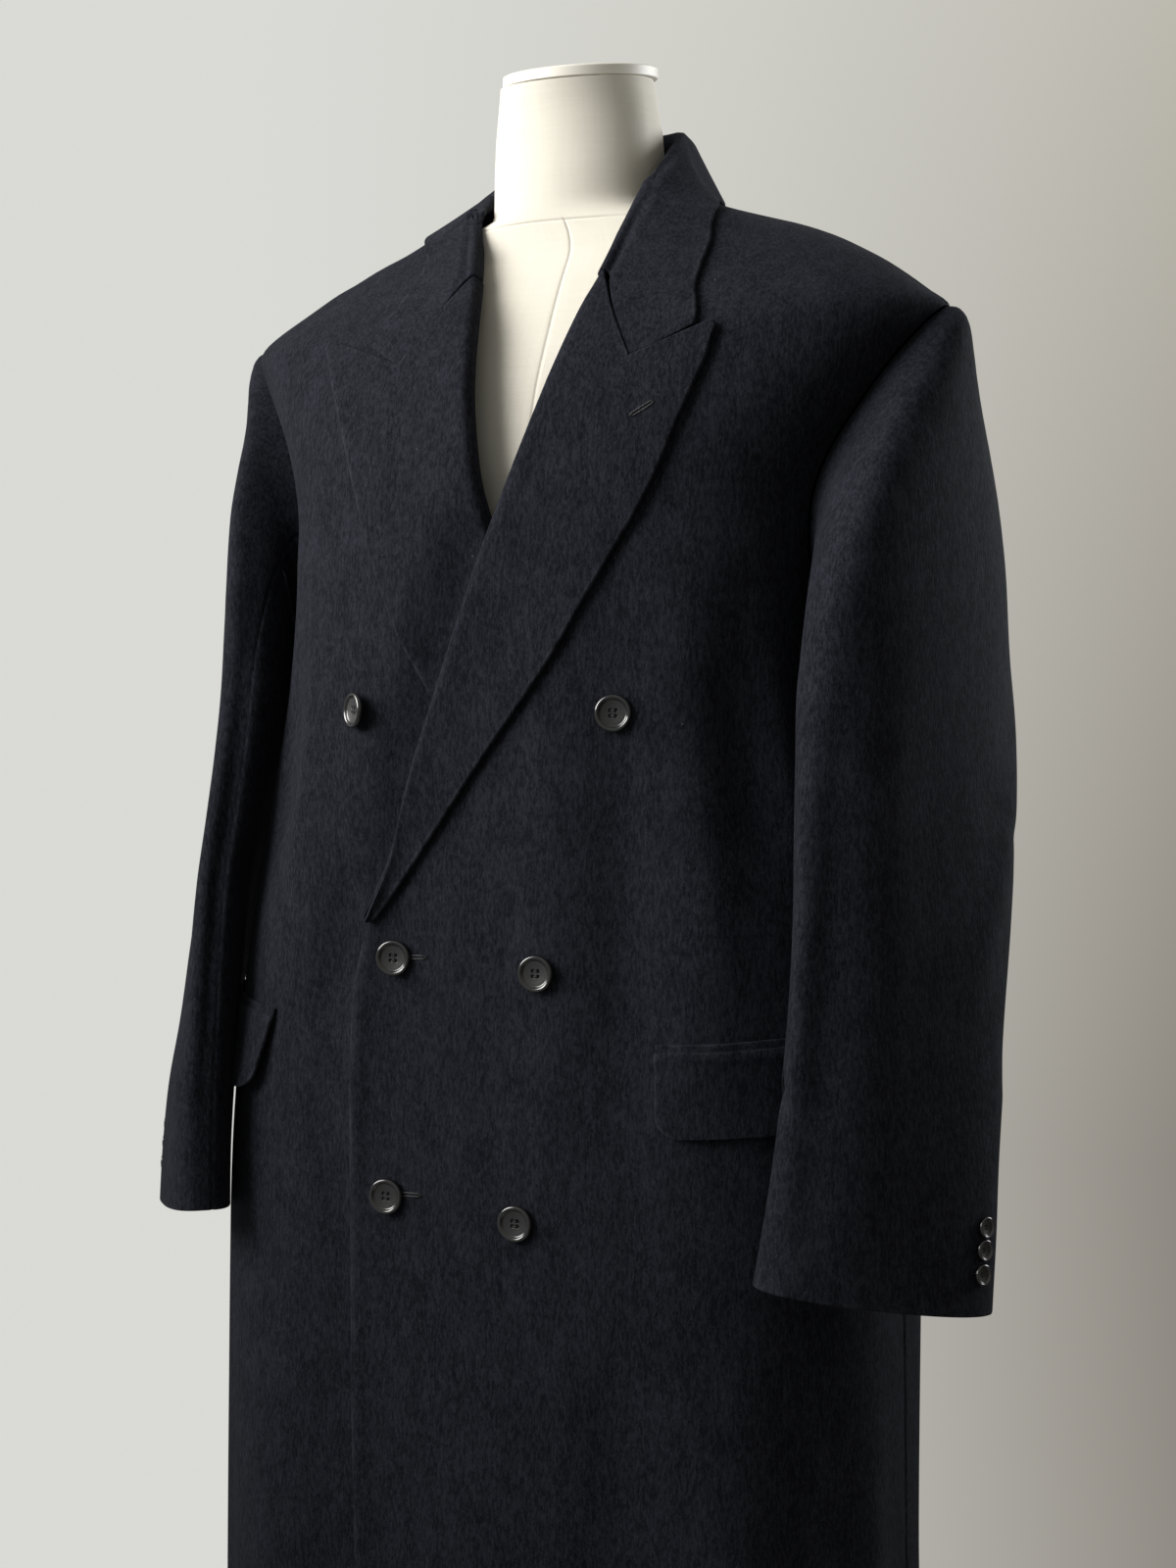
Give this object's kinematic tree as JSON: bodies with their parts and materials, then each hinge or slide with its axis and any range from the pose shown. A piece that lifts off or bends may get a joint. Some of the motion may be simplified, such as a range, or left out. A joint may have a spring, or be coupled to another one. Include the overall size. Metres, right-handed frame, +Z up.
{
  "type": "overcoat on dress form",
  "caption": "Double-breasted wool overcoat with peak lapels, flap pockets and a buttoned front, hanging closed and open-necked on a limbless dress form on a pole and round foot.",
  "frame": {"origin": "centre of the foot's underside, on the floor", "axes": "+Z up; the wearer faces -Y, and the wearer's left is +X"},
  "size_m": [0.6889, 0.4, 1.6409],
  "materials": {
    "wool": "felted black wool, faintly navy, matt",
    "black_button": "polished rim round a satin middle",
    "linen": "ivory linen cover, plain weave",
    "cap_enamel": "pale satin enamel",
    "stand_metal": "pale grey satin paint"
  },
  "bodies": {
    "root": {"left_front": "wool", "right_front": "wool", "left_back": "wool", "right_back": "wool", "left_top_sleeve": "wool", "left_under_sleeve": "wool", "right_top_sleeve": "wool", "right_under_sleeve": "wool", "left_lapel": "wool", "right_lapel": "wool", "collar": "wool", "left_flap": "wool", "right_flap": "wool", "left_welt": "wool", "right_welt": "wool", "button_top_left": "black_button", "button_top_right": "black_button", "button_middle_left": "black_button", "button_middle_right": "black_button", "button_bottom_left": "black_button", "button_bottom_right": "black_button", "left_cuff_button_1": "black_button", "left_cuff_button_2": "black_button", "left_cuff_button_3": "black_button", "right_cuff_button_1": "black_button", "right_cuff_button_2": "black_button", "right_cuff_button_3": "black_button", "form_torso": "linen", "neck_cap": "cap_enamel", "form_stand": "stand_metal"}
  },
  "joints": []
}
